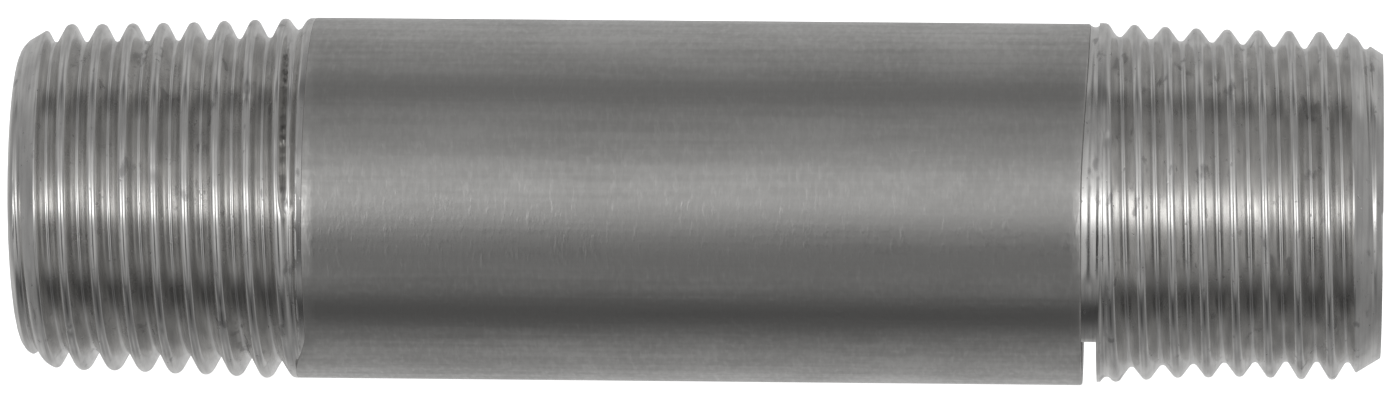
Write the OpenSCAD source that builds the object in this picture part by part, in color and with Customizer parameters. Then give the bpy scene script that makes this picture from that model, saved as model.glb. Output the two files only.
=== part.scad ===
// Barrel nipple: one length of stainless steel pipe with a right-hand taper thread cut on
// each end. Millimetres. The pipe's axis is X, up is +Z, and the origin is at the centre of
// the nipple, halfway between the two end faces.

/* [Pipe] */
// Length from end face to end face
overall_length = 80; // [72:1:150]
// Outside diameter of the plain pipe
pipe_diameter = 21.3; // [21.28:0.01:21.5]
// Diameter of the through bore
bore_diameter = 13.84; // [12:0.01:14.2]

/* [Thread] */
// Distance from one crest to the next
thread_pitch = 1.814; // [1.7:0.001:1.95]
// Height of the thread from root to crest
thread_depth = 1.08; // [0.8:0.01:1.15]
// Crest diameter at the pipe's end, before the chamfer is cut
end_crest_diameter = 20.44; // [20.2:0.01:20.6]
// Growth in diameter for each millimetre of length
diameter_taper = 0.0625; // [0.05:0.0005:0.08]
// Crests are held this far below the pipe's surface
crest_clearance = 0.05; // [0.02:0.01:0.15]

/* [Ends] */
// Outside diameter of the flat end face
end_face_diameter = 17.9; // [17.4:0.1:18.4]
// Rise of the end chamfer for each millimetre of length
chamfer_slope = 0.62; // [0.45:0.01:0.9]

/* [Left thread] */
// Length of the left threaded zone, run-out included
left_length = 17.25; // [15.5:0.05:20]
// Length over which the left thread fades out into the pipe
left_runout = 2.3; // [0.8:0.1:3]
// Distance of the first left crest from the end, at the side where y is largest
left_phase = 0.42; // [0:0.01:1.8]

/* [Right thread] */
// Length of the right threaded zone, up to the turned band
right_length = 16.5; // [15.5:0.05:20]
// Length over which the right thread fades out into its collar
right_runout = 1.0; // [0.8:0.1:3]
// Distance of the first right crest from the end, at the side where y is smallest
right_phase = 1.29; // [0:0.01:1.8]

/* [Turned band] */
// Width of the turned band beside the right thread
band_width = 0.85; // [0.6:0.05:2]
// Diameter of the turned band
band_diameter = 21; // [20:0.1:21.2]
// Distance from the pipe's axis down to the gap's flat floor
gap_floor = 7.8; // [7.6:0.05:9.5]

/* [Hidden] */

pipe_radius = pipe_diameter / 2;
bore_radius = bore_diameter / 2;
half_length = overall_length / 2;
barrel_start = left_length - half_length;
band_end = half_length - right_length;
barrel_end = band_end - band_width;

// How far the cut surface lies below the crest, as a fraction of the thread's depth, at
// fractions of a turn from one crest to the next: rounded crest, straight flank, rounded root
thread_form = [[0, 0], [0.1, 0.06], [0.4, 0.94], [0.5, 1], [0.6, 0.94], [0.9, 0.06], [1, 0]];
rows_each_turn = len(thread_form) - 1;

// Facets round the thread. They start a quarter of a facet past the Y axis, so that none of
// their edges lies along one of the part's main planes.
facets = 60;
facet_start = 0.25;

// Least distance kept between two rings of points at a flat end
ring_gap = 0.02;

// Widest step between two neighbouring rings, as a fraction of the pitch
widest_step = 0.3;

through = 1;
steel = [0.66, 0.66, 0.65];
bright_steel = [0.78, 0.78, 0.77];

$fn = 120;

// Part of a turn, 0 to 1, that a point has gone past the last crest
function turn_fraction(distance, angle, phase) =
  let (turns = (distance - phase) / thread_pitch - angle / 360)
  turns - floor(turns);

// 1 where the thread is cut to its full depth, falling to 0 over the run-out
function thread_fade(distance, length, runout) =
  let (t = min(1, max(0, (length - distance) / runout)))
  t * (2 - t);

// Radius of the crests at a distance from the pipe's end
function crest_radius(distance) =
  min(end_crest_diameter / 2 + distance * diameter_taper / 2, pipe_radius - crest_clearance);

// Radius of the end chamfer's cone at a distance from the pipe's end
function chamfer_radius(distance) =
  end_face_diameter / 2 + distance * chamfer_slope;

// Radius of the threaded surface
function thread_radius(distance, angle, phase, length, runout) =
  let (cut = thread_depth * lookup(turn_fraction(distance, angle, phase), thread_form))
  min(crest_radius(distance) - cut * thread_fade(distance, length, runout),
      chamfer_radius(distance));

// One threaded end: the end face is at x = 0 and the thread climbs towards +X. The rings of
// points follow the helix, and are pressed flat where they pass the two ends.
module threaded_end(phase, length, runout) {
  last_turn = ceil(length / thread_pitch) + 1;
  rings = [
    for (turn = [-3 : last_turn])
      for (row = [0 : rows_each_turn - 1])
        let (start = phase + thread_pitch * (turn + thread_form[row][0]))
        if (start > -thread_pitch * (1 + widest_step) && start < length + thread_pitch * widest_step)
          start
  ];
  last = len(rings) - 1;
  points = [
    for (column = [0 : facets - 1])
      for (ring = [0 : last])
        let (
          turned = (column + facet_start) / facets,
          angle = 360 * turned,
          climbed = rings[ring] + thread_pitch * turned,
          distance = min(max(climbed, ring * ring_gap), length - (last - ring) * ring_gap),
          radius = thread_radius(distance, angle, phase, length, runout)
        )
        [distance, radius * cos(angle), radius * sin(angle)]
  ];
  count = last + 1;
  seam = (facets - 1) * count;
  // Strips between neighbouring columns, then the seam, where the rings have climbed a turn
  strips = [
    for (column = [0 : facets - 2])
      for (ring = [0 : last - 1])
        let (a = column * count + ring, b = a + count)
        each [[a, b, b + 1], [a, b + 1, a + 1]]
  ];
  seam_strip = [
    for (ring = [0 : last - rows_each_turn - 1])
      let (a = seam + ring, b = ring + rows_each_turn)
      each [[a, b, b + 1], [a, b + 1, a + 1]]
  ];
  seam_start = [for (ring = [0 : rows_each_turn - 1]) [seam, ring, ring + 1]];
  seam_finish = [
    for (ring = [last - rows_each_turn : last - 1]) [seam + ring, last, seam + ring + 1]
  ];
  end_face = [for (column = [facets - 1 : -1 : 0]) column * count];
  inner_face = [for (column = [0 : facets - 1]) column * count + last];
  polyhedron(
    points = points,
    faces = concat(strips, seam_strip, seam_start, seam_finish, [end_face], [inner_face])
  );
}

// Through bore, as a tool to cut with
module bore_tool(start, finish) {
  translate([start - through, 0, 0])
    rotate([0, 90, 0])
      cylinder(r = bore_radius, h = finish - start + 2 * through);
}

// Machined taper thread on the left end, with its chamfer and its run-out into the pipe
module left_thread() {
  color(bright_steel)
    difference() {
      translate([-half_length, 0, 0])
        threaded_end(left_phase, left_length, left_runout);
      bore_tool(-half_length, barrel_start);
    }
}

// Plain pipe between the two threaded zones
module barrel() {
  color(steel)
    difference() {
      translate([barrel_start, 0, 0])
        rotate([0, 90, 0])
          cylinder(r = pipe_radius, h = barrel_end - barrel_start);
      bore_tool(barrel_start, barrel_end);
    }
}

// Turned band beside the right thread, with a straight gap across its underside
module relief_neck() {
  color(bright_steel)
    difference() {
      translate([barrel_end, 0, 0])
        rotate([0, 90, 0])
          cylinder(d = band_diameter, h = band_width);
      translate([barrel_end - through, -pipe_radius, -pipe_radius - through])
        cube([band_width + 2 * through, pipe_diameter, pipe_radius + through - gap_floor]);
      bore_tool(barrel_end, band_end);
    }
}

// Machined taper thread on the right end, with its chamfer and its collar
module right_thread() {
  color(bright_steel)
    difference() {
      translate([half_length, 0, 0])
        rotate([0, 0, 180])
          threaded_end(right_phase, right_length, right_runout);
      bore_tool(band_end, half_length);
    }
}

left_thread();
barrel();
relief_neck();
right_thread();
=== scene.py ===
import math

import bpy
import numpy as np
from mathutils import Matrix, Vector


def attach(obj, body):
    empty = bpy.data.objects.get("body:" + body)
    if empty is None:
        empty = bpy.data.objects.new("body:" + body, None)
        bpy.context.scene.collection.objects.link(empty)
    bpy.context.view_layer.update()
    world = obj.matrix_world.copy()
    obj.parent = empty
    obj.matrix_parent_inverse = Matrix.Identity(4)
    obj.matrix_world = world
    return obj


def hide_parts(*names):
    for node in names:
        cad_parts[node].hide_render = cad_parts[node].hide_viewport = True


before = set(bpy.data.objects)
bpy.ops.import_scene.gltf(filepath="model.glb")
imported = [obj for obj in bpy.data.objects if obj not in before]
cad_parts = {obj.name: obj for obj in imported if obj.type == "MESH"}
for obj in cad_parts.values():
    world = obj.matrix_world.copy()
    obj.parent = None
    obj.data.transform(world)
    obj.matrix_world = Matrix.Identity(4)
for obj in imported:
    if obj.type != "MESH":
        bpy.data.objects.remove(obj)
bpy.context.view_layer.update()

mm = 0.001
fullTurn = 2 * math.pi


def linear(hexColour):
    # sRGB hex to the linear colour that a shader takes
    parts = [int(hexColour[i:i + 2], 16) / 255 for i in (1, 3, 5)]
    light = [c / 12.92 if c <= 0.04045 else ((c + 0.055) / 1.055) ** 2.4 for c in parts]
    return (*light, 1.0)


def addNode(tree, kind, inputs=None, **settings):
    # one node with its settings; an input is a value, or the socket it is linked from
    node = tree.nodes.new(kind)
    for name, value in settings.items():
        setattr(node, name, value)
    for socket, value in (inputs or {}).items():
        if isinstance(value, bpy.types.NodeSocket):
            tree.links.new(value, node.inputs[socket])
        else:
            node.inputs[socket].default_value = value
    return node


def smoothStep(value):
    value = np.clip(value, 0, 1)
    return value * value * (3 - 2 * value)


def softMin(first, second, blend):
    # the lesser of two radii, with the corner between them rounded
    mix = np.clip(0.5 + 0.5 * (second - first) / blend, 0, 1)
    return second * (1 - mix) + first * mix - blend * mix * (1 - mix)


def ring(xs, radii, angles):
    # a closed loop round the X axis; xs and radii may vary round it
    return np.stack([
        np.broadcast_to(xs, angles.shape),
        radii * np.cos(angles),
        radii * np.sin(angles),
    ], axis=-1)


def stripFaces(first, second, columns):
    # quads between two loops, given by the numbers of their first points
    return [
        (first + c, second + c, second + (c + 1) % columns, first + (c + 1) % columns)
        for c in range(columns)
    ]


def addPiece(name, points, faces, sharpAngle):
    # points are in millimetres; an edge that turns by more than the angle is drawn sharp
    mesh = bpy.data.meshes.new(name)
    mesh.from_pydata((points * mm).tolist(), [], faces)
    mesh.shade_smooth()
    mesh.set_sharp_from_angle(angle=math.radians(sharpAngle))
    piece = bpy.data.objects.new(name, mesh)
    bpy.context.scene.collection.objects.link(piece)
    return piece


# the pipe that the whole nipple is cut from, in millimetres
pipe = {
    "radius": 10.65,
    "boreRadius": 6.92,
    "boreSlack": 0.01,      # a face this far outside the bore's radius is still the bore's
    "halfLength": 40.0,
    "pitch": 1.814,         # of the threads, from one crest to the next
    "columns": 280,         # facets round it
    "boreStations": 9,      # rings along each stretch of bore
    "mouthChamfer": 0.3,    # broken edge of the bore's two mouths
    "sharpAngle": 40,       # degrees
}
roundAngles = np.arange(pipe["columns"]) * fullTurn / pipe["columns"]


def finishPiece(piece, node, material):
    # the bore's faces, known by their distance from the axis, have the bore's own steel
    for each in (material, boreMaterial):
        piece.data.materials.append(each)
    bore = (pipe["boreRadius"] + pipe["boreSlack"]) * mm
    for face in piece.data.polygons:
        face.material_index = int(math.hypot(face.center.y, face.center.z) < bore)
    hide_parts(node)
    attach(piece, "root")


# where the plain pipe stops at either side, in mm. Both edges change over part of the way
# round, from a height given as a part of the radius to the very bottom or top
pipeEdges = {
    "runOut": 17.25,        # where the left thread ends, measured from the left end
    "runOutShort": 0.9,     # how much sooner it ends underneath
    "shortFrom": 0.72,
    "bandStart": 22.65,     # x of the turned band's left side
    "bandLean": 0.34,       # how far the pipe leans over the band at the top
    "leanFrom": 0.1,
    "bandEnd": 23.5,        # x where the right thread begins
}


def edgeShare(height, start):
    # how far an edge's change has gone at a height, both as parts of the radius
    return smoothStep((height - start) / (1 - start))


def leftEdge(angles):
    # distance of the pipe's left-hand edge from the left end
    under = edgeShare(-np.sin(angles), pipeEdges["shortFrom"])
    return pipeEdges["runOut"] - pipeEdges["runOutShort"] * under


def rightEdge(angles):
    # x of the pipe's right-hand edge
    over = edgeShare(np.sin(angles), pipeEdges["leanFrom"])
    return pipeEdges["bandStart"] + pipeEdges["bandLean"] * over


# drawn and satin polished 304 stainless pipe: a soft grey sheen, with fine belt marks and a
# few brighter scuffs round it, faint lines along it from drawing, slow changes of sheen, and
# a fine grain. A mark's size is in mm along the pipe and round it, between is the span of
# the noise that it fades in over, tone is how much it brightens, and height how far it
# stands up, in mm. Belt marks are really about 0.05 wide, and are drawn coarse enough to show
satinPipe = {
    "base": "#cbcac8",
    "dark": "#b3b2b0",
    "roughness": (0.30, 0.39),
    "tone": 0.0,
    "marks": {
        "belt": {"size": (0.26, 0.9), "between": (0.35, 0.75), "tone": 0.30, "height": 0.0024},
        "scuff": {"size": (0.30, 1.0), "between": (0.55, 0.72), "tone": 0.28, "height": 0.0032},
        "drawn": {"size": (16.0, 0.5), "between": (0.30, 0.70), "tone": 0.35, "height": 0.0016},
        "sheen": {"size": (9.0, 5.0), "between": (0.30, 0.70), "tone": 0.45, "height": 0.0},
        "grain": {"size": (0.45, 0.45), "between": (0.40, 0.75), "tone": 0.30, "height": 0.0018},
    },
}

# 304 stainless as the threading die left it: bright, with turning marks round it that are
# drawn coarse too, rubbed places, and a few small tears and dark stains
cutSteel = {
    "base": "#e6e5e3",
    "dark": "#b2b1b0",
    "roughness": (0.18, 0.31),
    "tone": 0.35,
    "marks": {
        "turning": {"size": (0.13, 7.0), "between": (0.30, 0.70), "tone": 0.25, "height": 0.0001},
        "rubbed": {"size": (0.50, 2.4), "between": (0.30, 0.70), "tone": 0.40, "height": 0.0008},
        "tear": {"size": (0.20, 0.40), "between": (0.67, 0.75), "tone": -0.6, "height": -0.004},
        "stain": {"size": (0.70, 1.60), "between": (0.63, 0.75), "tone": -0.8, "height": 0.0},
    },
}

# inside of the 304 stainless pipe, as drawn: dull, with lines along it from the drawing
# plug and a little mottled scale
drawnBore = {
    "base": "#aeadab",
    "dark": "#8b8a88",
    "roughness": (0.36, 0.50),
    "tone": 0.2,
    "marks": {
        "drawn": {"size": (18.0, 0.35), "between": (0.30, 0.70), "tone": 0.5, "height": 0.0040},
        "scale": {"size": (1.2, 1.2), "between": (0.40, 0.70), "tone": 0.3, "height": 0.0030},
    },
}


def makeSteel(name, look):
    # each mark changes the tone, which sets colour and roughness, and the height
    material = bpy.data.materials.new(name)
    material.use_nodes = True
    tree = material.node_tree
    shader = tree.nodes["Principled BSDF"]
    place = addNode(tree, "ShaderNodeTexCoord").outputs["Object"]
    tone, height = look["tone"], 0.0
    for mark in look["marks"].values():
        along, around = (1 / (size * mm) for size in mark["size"])
        scaled = addNode(tree, "ShaderNodeMapping", {
            "Vector": place, "Scale": (along, around, around),
        })
        noise = addNode(tree, "ShaderNodeTexNoise", {
            "Vector": scaled.outputs["Vector"], "Scale": 1.0, "Detail": 2.0,
        })
        shown = addNode(tree, "ShaderNodeMapRange", {
            "Value": noise.outputs["Fac"],
            "From Min": mark["between"][0], "From Max": mark["between"][1],
        }, interpolation_type="SMOOTHSTEP").outputs["Result"]
        tone = addNode(tree, "ShaderNodeMath", {
            0: shown, 1: mark["tone"], 2: tone,
        }, operation="MULTIPLY_ADD").outputs["Value"]
        height = addNode(tree, "ShaderNodeMath", {
            0: shown, 1: mark["height"], 2: height,
        }, operation="MULTIPLY_ADD").outputs["Value"]

    kept = addNode(tree, "ShaderNodeClamp", {"Value": tone}).outputs["Result"]
    # a mix node's colour sockets are its seventh and eighth inputs and its third output
    colour = addNode(tree, "ShaderNodeMix", {
        0: kept, 6: linear(look["dark"]), 7: linear(look["base"]),
    }, data_type="RGBA").outputs[2]
    rough = addNode(tree, "ShaderNodeMapRange", {
        "Value": kept, "To Min": look["roughness"][1], "To Max": look["roughness"][0],
    }).outputs["Result"]
    bump = addNode(tree, "ShaderNodeBump", {"Height": height, "Distance": mm}).outputs["Normal"]
    shader.inputs["Metallic"].default_value = 1.0
    tree.links.new(colour, shader.inputs["Base Color"])
    tree.links.new(rough, shader.inputs["Roughness"])
    tree.links.new(bump, shader.inputs["Normal"])
    return material


satinMaterial = makeSteel("satinDrawnStainless", satinPipe)
cutMaterial = makeSteel("machinedStainless", cutSteel)
boreMaterial = makeSteel("drawnBoreStainless", drawnBore)
print("materials made")


# left thread: rounded crests, cut a little low, fading out into the pipe
leftThread = {
    "name": "leftThread",
    "phase": 0.422,          # first crest from the end, where y is largest
    "depth": 1.08,
    "crestRound": 0.33,      # radius of the crest's arc
    "rootRound": 0.22,
    # each pair starts with a distance from the end
    "crestRadii": [(0, 10.21), (5, 10.28), (9, 10.38), (13, 10.53), (15.5, 10.63)],
    "lift": [(0, -0.07), (14, -0.07), (17.1, 0.0)],  # how far it is set up from the axis
    # part of the depth that is cut
    "fade": [(14.75, 1.0), (15.35, 0.90), (16.0, 0.74), (16.45, 0.50), (16.9, 0.0)],
    "tear": {                # where the die tore the steel behind the last crest
        "afterTurns": 8,     # the crest it lies behind, counted from the end
        "behind": 0.33,      # mm from the crest to the middle of the tear
        "halfWidth": 0.15,
        "depth": 0.60,
        "degrees": (105, 128, 172, 184),  # where it starts, is full, starts to ease, ends
        "ragged": 0.14,      # unevenness of its depth, from three waves round the pipe
        "raggedWaves": (61, 23, 97),
        "thirdWave": 0.6,    # strength of the third beside the other two
        "thirdShift": 1,     # how far it is set off, in radians
    },
    # radii of the cut end
    "chamfer": [(0, 8.3), (0.05, 8.55), (0.15, 8.84), (0.4, 9.2), (1.3, 9.74), (3.0, 10.8)],
    "cornerBlend": 0.22,     # rounding between the end's chamfer and the crests
    "overrun": (0.16, 0.08), # how far the end face stands out, and how much more at the top
    "waver": 0.014,          # unevenness of the crests
    "chips": 26,
    "chipDepth": 0.07,       # of the deepest chips
    "seed": 4,
}

# right thread: sharper crests and flatter roots, set a little high, up to its collar
rightThread = {
    "name": "rightThread",
    "phase": 1.289,          # first crest from the end, where y is smallest
    "depth": 0.98,
    "crestRound": 0.30,
    "rootRound": 0.22,
    "crestRadii": [(0, 10.29), (8, 10.22), (12, 10.30), (14, 10.48), (16, 10.58)],
    "lift": [(0, 0.05), (4, 0.06), (9, 0.16), (16.5, 0.13)],
    "fade": [
        (0, 1.07), (4, 1.07), (5.6, 1.0), (7.4, 0.90), (11, 0.78), (13, 0.80), (15.0, 0.84),
        (15.7, 0.75), (16.15, 0.2), (16.3, 0.0),
    ],
    "chamfer": [(0, 8.95), (3.0, 10.81)],
    "cornerBlend": 0.08,
    "overrun": (0.16, 0.0),
    "waver": 0.016,
    "chips": 30,
    "chipDepth": 0.08,
    "seed": 9,
}
# how the crests of both threads are marked. Angles run along the helix, in radians
crestMarks = {
    "waves": (0.7, 1.9, 4.3, 9.1, 17.0, 31.0),  # in each radian
    "halvedAt": 9,              # a faster wave is lower; this one has half the height
    "chippedLength": 17.0,      # mm of thread that the chips are spread over
    "chipWidths": (0.02, 0.09),
    "chipShares": (0.3, 1.0),   # of the thread's chip depth
}
threadMesh = {
    "rowsEachTurn": 30,
    "ringGap": 0.002,           # least distance between rings pressed against a flat end
    "formStations": 512,
    "steepestFlank": 80,        # degrees
    "halvings": 40,
    "liftedFrom": 8.5,          # points nearer to the axis than this stay where they are
}


def threadForm(thread):
    # an arc over the crest, a straight flank and an arc in the root; the flank's slope is
    # found by halving, so that the whole comes to the depth asked for
    half, depth = pipe["pitch"] / 2, thread["depth"]
    crestArc, rootArc = thread["crestRound"], thread["rootRound"]
    low, high = 0.0, math.radians(threadMesh["steepestFlank"])
    for _ in range(threadMesh["halvings"]):
        slope = (low + high) / 2
        straight = half - (crestArc + rootArc) * math.sin(slope)
        reached = (crestArc + rootArc) * (1 - math.cos(slope)) + straight * math.tan(slope)
        low, high = (slope, high) if reached < depth else (low, slope)
    station = np.arange(threadMesh["formStations"]) / threadMesh["formStations"]
    fromCrest = half - np.abs(station - 0.5) * 2 * half
    crestEnd, rootStart = crestArc * math.sin(slope), half - rootArc * math.sin(slope)
    overCrest = crestArc - np.sqrt(crestArc ** 2 - np.minimum(fromCrest, crestEnd) ** 2)
    inRoot = rootArc - np.sqrt(rootArc ** 2 - np.minimum(half - fromCrest, half - rootStart) ** 2)
    below = crestArc * (1 - math.cos(slope)) + (fromCrest - crestEnd) * math.tan(slope)
    below = np.where(fromCrest > rootStart, depth - inRoot, below)
    below = np.where(fromCrest < crestEnd, overCrest, below)
    return station, below / depth


def crestWear(thread, along):
    # uneven height of the crest at an angle along the helix, in mm
    rng = np.random.default_rng(thread["seed"])
    wear = np.zeros_like(along)
    for rate in crestMarks["waves"]:
        height = thread["waver"] / (1 + rate / crestMarks["halvedAt"])
        wear += height * np.sin(rate * along + rng.uniform(0, fullTurn))
    turns = crestMarks["chippedLength"] / pipe["pitch"]
    for spot in rng.uniform(0, turns * fullTurn, thread["chips"]):
        width = rng.uniform(*crestMarks["chipWidths"])
        deep = rng.uniform(*crestMarks["chipShares"]) * thread["chipDepth"]
        wear -= deep * np.exp(-((along - spot) / width) ** 2)
    return wear


def endFace(thread, angle):
    # where the end face stands, measured from the pipe's own end; below 0 is further out
    return -thread["overrun"][0] - thread["overrun"][1] * np.sin(angle)


def tornDepth(tear, turns, angle):
    # a ragged groove along the back of one crest, part of the way round
    behind = (turns - tear["afterTurns"]) * pipe["pitch"]
    start, full, easing, end = (math.radians(d) for d in tear["degrees"])
    shown = smoothStep((angle - start) / (full - start))
    shown = shown * smoothStep((end - angle) / (end - easing))
    first, second, third = tear["raggedWaves"]
    waves = np.sin(first * angle) * np.sin(second * angle)
    waves = waves + tear["thirdWave"] * np.sin(third * angle + tear["thirdShift"])
    ragged = 1 + tear["ragged"] * waves
    place = (behind - tear["behind"]) / tear["halfWidth"]
    return tear["depth"] * shown * ragged * np.exp(-place ** 2)


def threadRadius(thread, form, distance, angle):
    # radius of the threaded surface; wear shows on the crests, and goes as the thread fades
    turns = (distance - thread["phase"]) / pipe["pitch"] - angle / fullTurn
    depth = np.interp(turns % 1.0, *form, period=1.0)
    crest = np.interp(distance, *zip(*thread["crestRadii"]))
    fade = np.interp(distance, *zip(*thread["fade"]))
    along = np.floor(turns + 0.5) * fullTurn + angle
    wear = crestWear(thread, along) * (1 - depth) ** 2 * np.minimum(1, fade * 2)
    if "tear" in thread:
        wear = wear - tornDepth(thread["tear"], turns, angle)
    cone = np.interp(distance - endFace(thread, angle), *zip(*thread["chamfer"]))
    return softMin(crest - thread["depth"] * fade * depth + wear, cone, thread["cornerBlend"])


def buildThread(thread, length, fromLeft):
    # rings follow the helix and are pressed flat where they pass the two ends
    columns, gap, rows = pipe["columns"], threadMesh["ringGap"], threadMesh["rowsEachTurn"]
    pitch, form = pipe["pitch"], threadForm(thread)
    step = pitch / rows
    first = math.floor((-pitch - thread["phase"]) / step)
    last = math.ceil((length.max() - thread["phase"]) / step)
    starts = thread["phase"] + step * np.arange(first, last + 1)
    count = len(starts)
    number = np.arange(count)
    climbed = starts[None, :] + pitch * (np.arange(columns) / columns)[:, None]
    start = endFace(thread, roundAngles)
    distance = np.maximum(climbed, start[:, None] + number * gap)
    distance = np.minimum(distance, length[:, None] - (count - 1 - number) * gap)
    angle = np.broadcast_to(roundAngles[:, None], distance.shape)
    radius = threadRadius(thread, form, distance, angle)
    points = ring(distance, radius, angle).reshape(-1, 3)

    faces = []
    for c in range(columns - 1):
        a = c * count
        faces += [(a + r, a + count + r, a + count + r + 1, a + r + 1) for r in range(count - 1)]
    seam = (columns - 1) * count
    faces += [(seam + r, r + rows, r + rows + 1, seam + r + 1) for r in range(count - rows - 1)]
    faces += [(seam, r, r + 1) for r in range(rows)]
    faces += [(seam + r, count - 1, seam + r + 1) for r in range(count - rows - 1, count - 1)]

    # inner face, bore and end face, as plain loops from the last ring back to the first
    bore, mouth = pipe["boreRadius"], pipe["mouthChamfer"]
    stations = np.linspace(0, 1, pipe["boreStations"])
    loops = [ring(length * (1 - s) + mouth * s, bore, roundAngles) for s in stations]
    middle = 0.5 * (bore + mouth + thread["chamfer"][0][1])
    loops += [ring(start, bore + mouth, roundAngles), ring(start, middle, roundAngles)]
    base = len(points)
    outerEnd = [c * count + count - 1 for c in range(columns)]
    outerStart = [c * count for c in range(columns)]
    inner = [[base + i * columns + c for c in range(columns)] for i in range(len(loops))]
    chain = [outerEnd] + inner + [outerStart]
    for here, there in zip(chain, chain[1:]):
        faces += [
            (here[c], here[(c + 1) % columns], there[(c + 1) % columns], there[c])
            for c in range(columns)
        ]
    points = np.concatenate([points] + loops)
    lifted = np.hypot(points[:, 1], points[:, 2]) > threadMesh["liftedFrom"]
    points[:, 2] += np.interp(points[:, 0], *zip(*thread["lift"])) * lifted
    if fromLeft:
        points[:, 0] -= pipe["halfLength"]
    else:
        points = points * (-1, -1, 1) + (pipe["halfLength"], 0, 0)
    return addPiece(thread["name"], points, faces, pipe["sharpAngle"])


leftPiece = buildThread(leftThread, leftEdge(roundAngles), True)
finishPiece(leftPiece, "left_thread", cutMaterial)
rightLength = np.full(pipe["columns"], pipe["halfLength"] - pipeEdges["bandEnd"])
rightPiece = buildThread(rightThread, rightLength, False)
finishPiece(rightPiece, "right_thread", cutMaterial)
print("threads cut")


# plain pipe between the threads
barrel = {
    "name": "barrel",
    "leftRound": 0.05,     # broken edges, in mm
    "rightRound": 0.14,
    "roundSteps": 4,
    "stations": 60,        # rings along the outside
}


def solidFromLoops(name, loops, sharpAngle):
    # the loops run along the outside to the right, and back through the bore
    columns = len(loops[0])
    faces = []
    for i in range(len(loops)):
        faces += stripFaces(((i + 1) % len(loops)) * columns, i * columns, columns)
    return addPiece(name, np.concatenate(loops), faces, sharpAngle)


def buildBarrel(look):
    start, finish = leftEdge(roundAngles) - pipe["halfLength"], rightEdge(roundAngles)
    radius, loops = pipe["radius"], []
    for s in np.linspace(0, 1, look["roundSteps"]):
        turn = s * math.pi / 2
        xs = start + look["leftRound"] * (1 - math.cos(turn))
        loops.append(ring(xs, radius - look["leftRound"] * (1 - math.sin(turn)), roundAngles))
    for s in np.linspace(0, 1, look["stations"])[1:-1]:
        loops.append(ring(start * (1 - s) + finish * s, radius, roundAngles))
    for s in np.linspace(0, 1, look["roundSteps"]):
        turn = s * math.pi / 2
        xs = finish - look["rightRound"] * (1 - math.sin(turn))
        loops.append(ring(xs, radius - look["rightRound"] * (1 - math.cos(turn)), roundAngles))
    for s in np.linspace(0, 1, 2 * pipe["boreStations"]):
        loops.append(ring(finish * (1 - s) + start * s, pipe["boreRadius"], roundAngles))
    return solidFromLoops(look["name"], loops, pipe["sharpAngle"])


barrelPiece = buildBarrel(barrel)
finishPiece(barrelPiece, "barrel", satinMaterial)


# turned band beside the right thread, with a straight gap across its underside
turnedBand = {
    "name": "turnedBand",
    "radius": 10.5,
    "hollow": 0.10,        # how far the middle of the band dips, in mm
    "hollowEnds": (-0.46, -0.26),  # the dip runs out over these heights, as parts of the radius
    "hollowSteps": 7,
    "lift": 0.06,          # how far the top and the bottom are set up, in mm
    "gapFloor": 7.8,       # from the pipe's axis down to the gap's flat floor
    "leastSlope": 0.01,    # keeps the floor's distance finite beside and above the axis
    "sharpAngle": 30,      # degrees
}


def buildBand(look):
    # the gap's floor is flat, so its radius grows to either side until it leaves the band
    start, finish = rightEdge(roundAngles), pipeEdges["bandEnd"]
    under = -np.sin(roundAngles)
    floor = look["gapFloor"] / np.maximum(under, look["leastSlope"])
    flat, full = look["hollowEnds"]
    hollow = look["hollow"] * smoothStep((-under - flat) / (full - flat))
    loops = []
    for s in np.linspace(0, 1, look["hollowSteps"]):
        turned = look["radius"] - hollow * math.sin(math.pi * s) - look["lift"] * under
        loops.append(ring(start * (1 - s) + finish * s, np.minimum(turned, floor), roundAngles))
    for s in (0.0, 1.0):
        loops.append(ring(finish * (1 - s) + start * s, pipe["boreRadius"], roundAngles))
    return solidFromLoops(look["name"], loops, look["sharpAngle"])


bandPiece = buildBand(turnedBand)
finishPiece(bandPiece, "relief_neck", cutMaterial)
print("pipe and band turned")


# a pale floor that reads white, as a light table does
studio = {
    "floorSize": 12.0,      # metres
    "floorColour": "#ffffff",
    "floorRoughness": 0.9,
    "floorGlow": 0.97,
}
floorMesh = bpy.data.meshes.new("floor")
floorReach = studio["floorSize"] / 2
floorHeight = -pipe["radius"] * mm
floorSides = ((-1, -1), (1, -1), (1, 1), (-1, 1))
floorCorners = [(x * floorReach, y * floorReach, floorHeight) for x, y in floorSides]
floorMesh.from_pydata(floorCorners, [], [(0, 1, 2, 3)])
floor = bpy.data.objects.new("floor", floorMesh)
bpy.context.scene.collection.objects.link(floor)
floor.visible_glossy = False  # the steel reflects the lamps and the room, not the floor
paper = bpy.data.materials.new("whitePaper")
paper.use_nodes = True
paperShader = paper.node_tree.nodes["Principled BSDF"]
paperShader.inputs["Base Color"].default_value = linear(studio["floorColour"])
paperShader.inputs["Roughness"].default_value = studio["floorRoughness"]
paperShader.inputs["Emission Color"].default_value = linear(studio["floorColour"])
paperShader.inputs["Emission Strength"].default_value = studio["floorGlow"]
floor.data.materials.append(paper)

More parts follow.
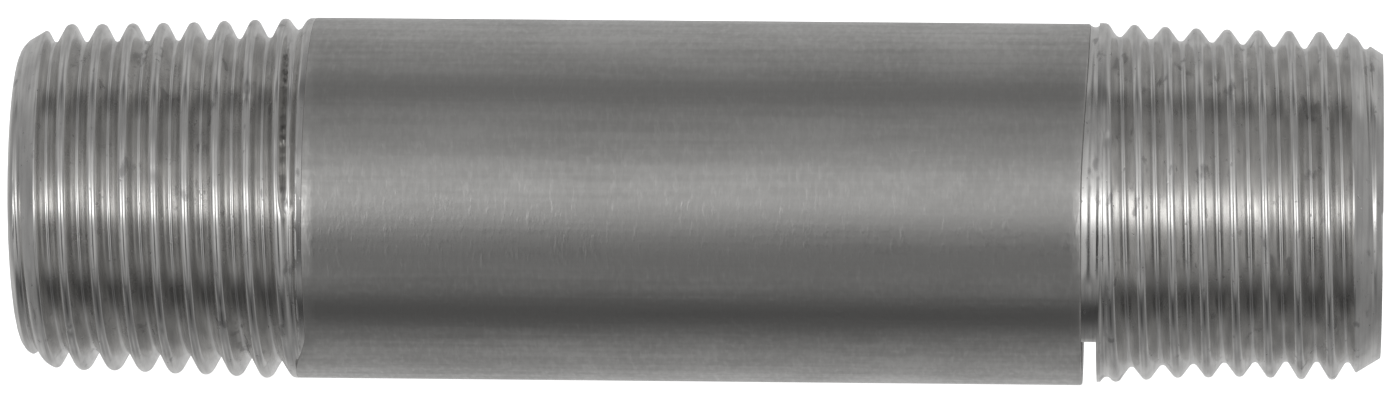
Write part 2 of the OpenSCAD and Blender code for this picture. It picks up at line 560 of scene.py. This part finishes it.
# the room that the steel mirrors. The lists give how bright it is at each angle round the
# nipple's axis, in degrees up from the viewer's side; "ahead" is what the plain pipe sees,
# "aside" is what the slopes of the thread see to the left and right of that, and "ends" is
# how bright it is beyond the pipe's two ends
room = {
    "ahead": [
        (-180, 0.72), (-150, 0.61), (-125, 0.41), (-105, 0.39), (-88, 0.16), (-80, 0.05),
        (-68, 0.03), (-60, 0.22), (-50, 0.30), (-35, 0.03), (-20, 0.0), (-7, 0.14), (7, 0.42),
        (20, 0.57), (35, 0.27), (50, 0.33), (62, 0.28), (70, 0.12), (80, 0.12), (92, 0.30),
        (110, 0.34), (130, 0.53), (155, 0.46), (180, 0.72),
    ],
    "aside": [
        (-180, 0.55), (-150, 0.56), (-125, 0.30), (-105, 0.27), (-85, 0.17), (-65, 0.09),
        (-50, 0.36), (-35, 0.50), (-20, 0.55), (-7, 1.38), (7, 1.18), (20, 0.62), (35, 0.56),
        (50, 0.32), (65, 0.36), (80, 0.17), (95, 0.53), (110, 0.49), (130, 0.40), (155, 0.50),
        (180, 0.55),
    ],
    "ends": 0.34,
    "asideFrom": (0.04, 0.30),  # sideways part of a direction over which "aside" fades in
    "endsFrom": (0.66, 0.88),   # and over which "ends" does
    "brightest": 2.5,           # what white stands for in the two ramps
}


def buildRoom(look):
    world = bpy.data.worlds.new("studioRoom")
    bpy.context.scene.world = world
    world.use_nodes = True
    tree = world.node_tree
    heading = addNode(tree, "ShaderNodeTexCoord").outputs["Generated"]
    split = addNode(tree, "ShaderNodeSeparateXYZ", {"Vector": heading})
    towards = addNode(tree, "ShaderNodeMath", {0: split.outputs["Y"], 1: -1.0}, operation="MULTIPLY")
    angle = addNode(tree, "ShaderNodeMath", {
        0: split.outputs["Z"], 1: towards.outputs["Value"],
    }, operation="ARCTAN2")
    place = addNode(tree, "ShaderNodeMapRange", {
        "Value": angle.outputs["Value"], "From Min": -math.pi, "From Max": math.pi,
    })
    sideways = addNode(tree, "ShaderNodeMath", {0: split.outputs["X"]}, operation="ABSOLUTE")
    colours = []
    for name in ("ahead", "aside"):
        ramp = addNode(tree, "ShaderNodeValToRGB", {"Fac": place.outputs["Result"]})
        stops = ramp.color_ramp.elements
        stops.remove(stops[1])
        for number, (degrees, bright) in enumerate(look[name]):
            stop = stops[0] if number == 0 else stops.new((degrees + 180) / 360)
            stop.color = (bright / look["brightest"],) * 3 + (1,)
        colours.append(ramp.outputs["Color"])
    colours.append((look["ends"] / look["brightest"],) * 3 + (1,))
    mixed = colours[0]
    for colour, reach in zip(colours[1:], (look["asideFrom"], look["endsFrom"])):
        share = addNode(tree, "ShaderNodeMapRange", {
            "Value": sideways.outputs["Value"], "From Min": reach[0], "From Max": reach[1],
        }, interpolation_type="SMOOTHSTEP")
        mixed = addNode(tree, "ShaderNodeMix", {
            0: share.outputs["Result"], 6: mixed, 7: colour,
        }, data_type="RGBA").outputs[2]
    background = tree.nodes["Background"]
    background.inputs["Strength"].default_value = look["brightest"]
    tree.links.new(mixed, background.inputs["Color"])


buildRoom(room)

# two soft boxes either side of the camera: where each stands and its size in metres, and
# how bright it is
softBoxes = {
    "leftBox": {"place": (-0.45, -0.85, -0.03), "size": (0.40, 0.22), "radiance": 1.2},
    "rightBox": {"place": (0.45, -0.85, -0.03), "size": (0.40, 0.22), "radiance": 1.2},
}


def addSoftBox(name, look):
    lamp = bpy.data.lights.new(name, "AREA")
    lamp.shape = "RECTANGLE"
    lamp.size, lamp.size_y = look["size"]
    lamp.energy = look["radiance"] * math.pi * look["size"][0] * look["size"][1]
    box = bpy.data.objects.new(name, lamp)
    bpy.context.scene.collection.objects.link(box)
    box.location = look["place"]
    box.rotation_euler = (-Vector(look["place"])).to_track_quat("-Z", "Y").to_euler()
    box.visible_camera = False


for boxName, boxLook in softBoxes.items():
    addSoftBox(boxName, boxLook)

# a long lens a little to the right of the middle, turned a touch
camera = {
    "azimuth": 2.8,               # degrees, as are the elevation and the roll
    "elevation": 2.0,
    "distance": 0.650,            # metres
    "aim": (-0.275, 0.0, 0.06),   # mm
    "lens": 284.9,
    "roll": 0.41,
    "clip": (0.01, 50.0),         # metres
}
azimuth, elevation = math.radians(camera["azimuth"]), math.radians(camera["elevation"])
back = Vector((
    math.sin(azimuth) * math.cos(elevation),
    -math.cos(azimuth) * math.cos(elevation),
    math.sin(elevation),
))
aim = Vector(camera["aim"]) * mm
lens = bpy.data.cameras.new("camera")
lens.lens = camera["lens"]
lens.clip_start, lens.clip_end = camera["clip"]
viewer = bpy.data.objects.new("camera", lens)
bpy.context.scene.collection.objects.link(viewer)
facing = (-back).to_track_quat("-Z", "Y").to_matrix().to_4x4()
rolled = Matrix.Rotation(math.radians(camera["roll"]), 4, "Z")
viewer.matrix_world = Matrix.Translation(aim + back * camera["distance"]) @ facing @ rolled
bpy.context.scene.camera = viewer
bpy.context.scene.view_settings.view_transform = "Standard"
print("studio set")
